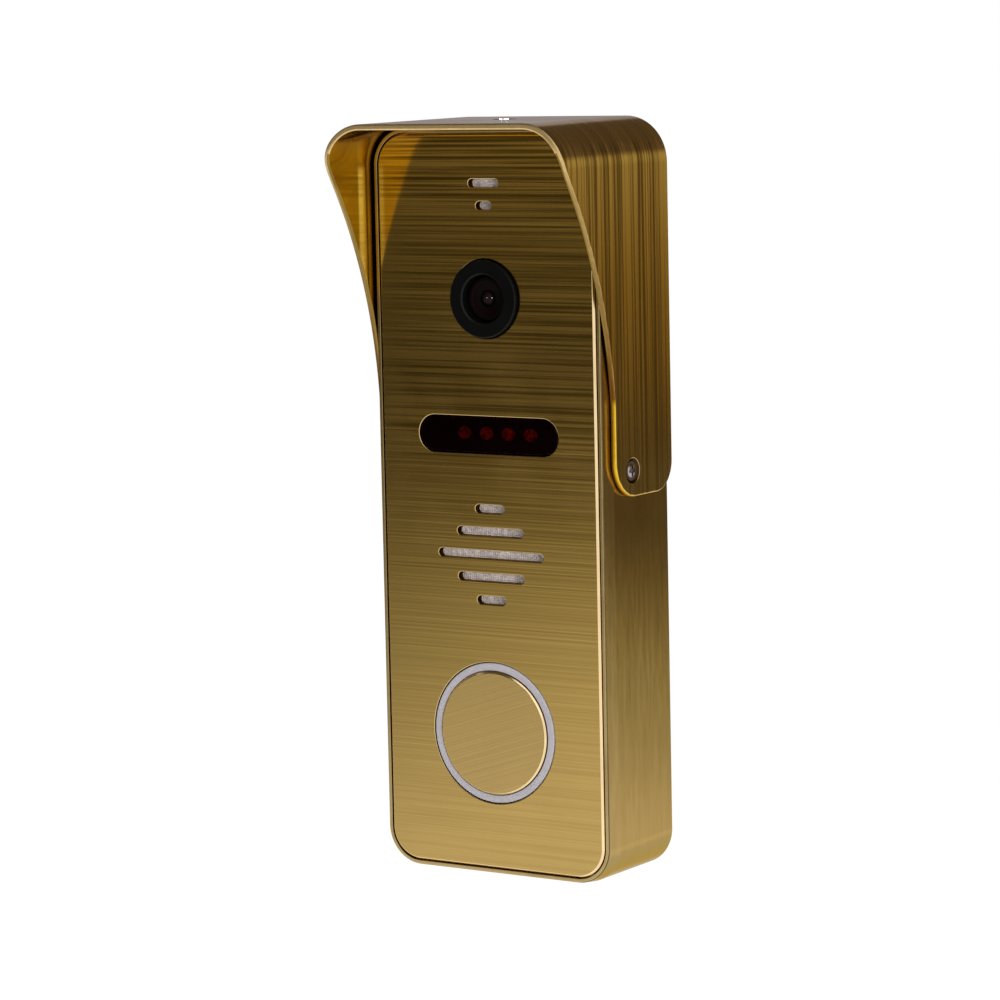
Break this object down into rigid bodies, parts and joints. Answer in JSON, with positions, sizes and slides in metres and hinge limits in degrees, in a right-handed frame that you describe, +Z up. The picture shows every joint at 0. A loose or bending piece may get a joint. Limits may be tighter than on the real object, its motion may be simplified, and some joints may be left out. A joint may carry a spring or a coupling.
{
  "type": "door intercom panel",
  "caption": "Slim brushed-gold door intercom panel with a camera, lamp window, speaker slots and a lit call button under a bent sheet visor, hung on a hidden wall bracket.",
  "frame": {"origin": "on the back of the wall bracket, in the plane of the wall, behind the middle of the front plate", "axes": "+X to the right of someone who faces the panel, +Y into the wall, +Z up"},
  "size_m": [0.0526, 0.0372, 0.142],
  "materials": {
    "gold_aluminium": "brushed, gold anodised",
    "screw_steel": "plain",
    "zinc_steel": "zinc plated",
    "black_plastic": "satin moulded",
    "lens_glass": "coated",
    "window_plastic": "dark red, polished",
    "lamp_plastic": "clear moulded",
    "white_lamp": "moulded",
    "circuit_board": "solder mask",
    "pale_cloth": "fine weave",
    "pale_ring": "translucent satin",
    "black_rubber": "moulded",
    "paper_cone": "pressed fibre",
    "white_plastic": "moulded"
  },
  "bodies": {
    "panel": {"front_plate": "gold_aluminium", "housing": "gold_aluminium", "visor": "gold_aluminium", "visor_top_screw": "screw_steel", "visor_side_screw_left": "screw_steel", "visor_side_screw_right": "screw_steel", "camera_bezel": "black_plastic", "lens_barrel": "black_plastic", "lens_glass": "lens_glass", "camera_holder": "black_plastic", "image_sensor": "black_plastic", "ir_window": "window_plastic", "ir_led_1": "lamp_plastic", "ir_led_2": "lamp_plastic", "ir_led_3": "lamp_plastic", "ir_led_4": "lamp_plastic", "ir_led_board": "circuit_board", "mic_mesh": "pale_cloth", "mic_boot": "black_rubber", "mic_capsule": "zinc_steel", "speaker_mesh": "pale_cloth", "speaker_frame": "zinc_steel", "speaker_cone": "paper_cone", "speaker_magnet": "zinc_steel", "switch_body": "black_plastic", "ring_led_1": "white_lamp", "ring_led_2": "white_lamp", "ring_led_3": "white_lamp", "ring_led_4": "white_lamp", "main_board": "circuit_board", "main_board_screw_1": "screw_steel", "main_board_screw_2": "screw_steel", "main_board_screw_3": "screw_steel", "main_board_screw_4": "screw_steel", "wire_connector": "white_plastic", "back_cover": "black_plastic", "cover_screw_1": "screw_steel", "cover_screw_2": "screw_steel", "cover_screw_3": "screw_steel", "cover_screw_4": "screw_steel", "cover_seal": "black_rubber", "cable_grommet": "black_rubber", "wall_bracket": "zinc_steel", "bracket_lock_screw": "screw_steel"},
    "call_button": {"button_light_ring": "pale_ring", "button_disc": "gold_aluminium", "switch_stem": "white_plastic"}
  },
  "joints": [
    {"name": "call_button_press", "type": "slide", "parent": "panel", "child": "call_button", "axis": [0, 1, 0], "range_m": [0, 0.0008], "stiffness_N_per_m": 600, "springref_m": -0.002}
  ]
}
